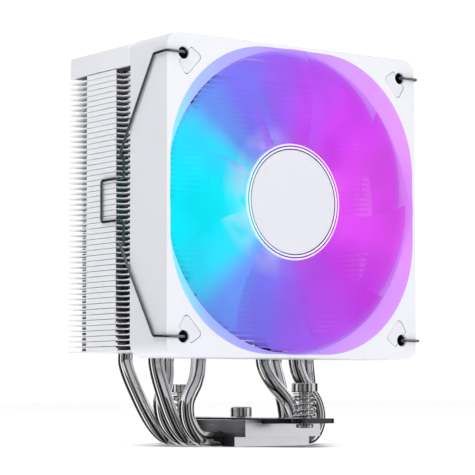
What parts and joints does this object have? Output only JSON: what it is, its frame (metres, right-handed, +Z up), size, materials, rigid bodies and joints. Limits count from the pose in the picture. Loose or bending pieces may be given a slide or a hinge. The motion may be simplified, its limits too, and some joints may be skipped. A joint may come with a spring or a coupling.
{
  "type": "cpu tower cooler",
  "caption": "Processor air cooler: white fin tower on nickel heat pipes, with a wire-clipped glowing fan in front, a solid base and a spring-screw mounting bar",
  "frame": {"origin": "the centre of the flat face that rests on the processor, which is also the centre of the bounding box's bottom", "axes": "+Z up through the fin tower, -Y is the side the fan is on, +X to the right seen from the fan"},
  "size_m": [0.1228, 0.0974, 0.1535],
  "materials": {
    "white_plastic": "fine matt texture",
    "pad_rubber": "matt",
    "translucent_plastic": "glossy, lit from the hub",
    "silver_plastic": "satin, spun",
    "magnet": "matt",
    "steel": "turned",
    "spring_steel": "drawn wire",
    "bearing_brass": "turned",
    "copper_winding": "enamelled wire",
    "circuit_laminate": "lacquered",
    "white_coated_fin": "white coating, satin",
    "nickel_plated_copper": "bright nickel",
    "base_aluminium": "machined",
    "black_steel": "black nickel",
    "plated_screw": "bright plated",
    "dark_wire": "black nickel"
  },
  "bodies": {
    "cooler": {"base_block": "base_aluminium", "centre_screw": "plated_screw", "circuit_board": "circuit_laminate", "corner_pad_lower_left": "pad_rubber", "corner_pad_lower_right": "pad_rubber", "corner_pad_upper_left": "pad_rubber", "corner_pad_upper_right": "pad_rubber", "fan_frame": "white_plastic", "fin_group_01": "white_coated_fin", "fin_group_02": "white_coated_fin", "fin_group_03": "white_coated_fin", "fin_group_04": "white_coated_fin", "fin_group_05": "white_coated_fin", "fin_group_06": "white_coated_fin", "fin_group_07": "white_coated_fin", "fin_group_08": "white_coated_fin", "fin_group_09": "white_coated_fin", "fin_group_10": "white_coated_fin", "fin_group_11": "white_coated_fin", "fin_group_12": "white_coated_fin", "fin_group_13": "white_coated_fin", "front_spring": "spring_steel", "heat_pipe_1": "nickel_plated_copper", "heat_pipe_2": "nickel_plated_copper", "heat_pipe_3": "nickel_plated_copper", "heat_pipe_4": "nickel_plated_copper", "light_ring": "translucent_plastic", "mounting_bar": "black_steel", "rear_spring": "spring_steel", "shaft_bearing": "bearing_brass", "stator_core": "steel", "stator_winding_1": "copper_winding", "stator_winding_2": "copper_winding", "stator_winding_3": "copper_winding", "stator_winding_4": "copper_winding", "top_cover": "white_plastic"},
    "rotor": {"impeller": "translucent_plastic", "hub_cap": "silver_plastic", "rotor_magnet": "magnet", "rotor_shaft": "steel", "shaft_retainer": "steel"},
    "left_clip": {"fan_clip_left": "dark_wire"},
    "right_clip": {"fan_clip_right": "dark_wire"},
    "front_screw_carrier": {"front_retaining_ring": "steel", "front_washer": "steel"},
    "front_screw": {"front_spring_screw": "plated_screw"},
    "rear_screw_carrier": {"rear_retaining_ring": "steel", "rear_washer": "steel"},
    "rear_screw": {"rear_spring_screw": "plated_screw"}
  },
  "joints": [
    {"name": "fan_spin", "type": "hinge", "parent": "cooler", "child": "rotor", "pos_m": [0, -0.0264, 0.0935], "axis": [0, -1, 0], "continuous": true},
    {"name": "left_clip_swing", "type": "hinge", "parent": "cooler", "child": "left_clip", "pos_m": [-0.0525, -0.0364, 0.0935], "axis": [0, 0, 1], "range_deg": [0, 16]},
    {"name": "right_clip_swing", "type": "hinge", "parent": "cooler", "child": "right_clip", "pos_m": [0.0525, -0.0364, 0.0935], "axis": [0, 0, -1], "range_deg": [0, 16]},
    {"name": "front_screw_plunge", "type": "slide", "parent": "cooler", "child": "front_screw_carrier", "axis": [0, 0, -1], "range_m": [0, 0.003], "stiffness_N_per_m": 1500, "springref_m": -0.003, "deforming": ["front_spring"]},
    {"name": "front_screw_turn", "type": "hinge", "parent": "front_screw_carrier", "child": "front_screw", "pos_m": [0, -0.0408, 0.015], "axis": [0, 0, -1], "continuous": true},
    {"name": "rear_screw_plunge", "type": "slide", "parent": "cooler", "child": "rear_screw_carrier", "axis": [0, 0, -1], "range_m": [0, 0.003], "stiffness_N_per_m": 1500, "springref_m": -0.003, "deforming": ["rear_spring"]},
    {"name": "rear_screw_turn", "type": "hinge", "parent": "rear_screw_carrier", "child": "rear_screw", "pos_m": [0, 0.0408, 0.015], "axis": [0, 0, -1], "continuous": true}
  ]
}
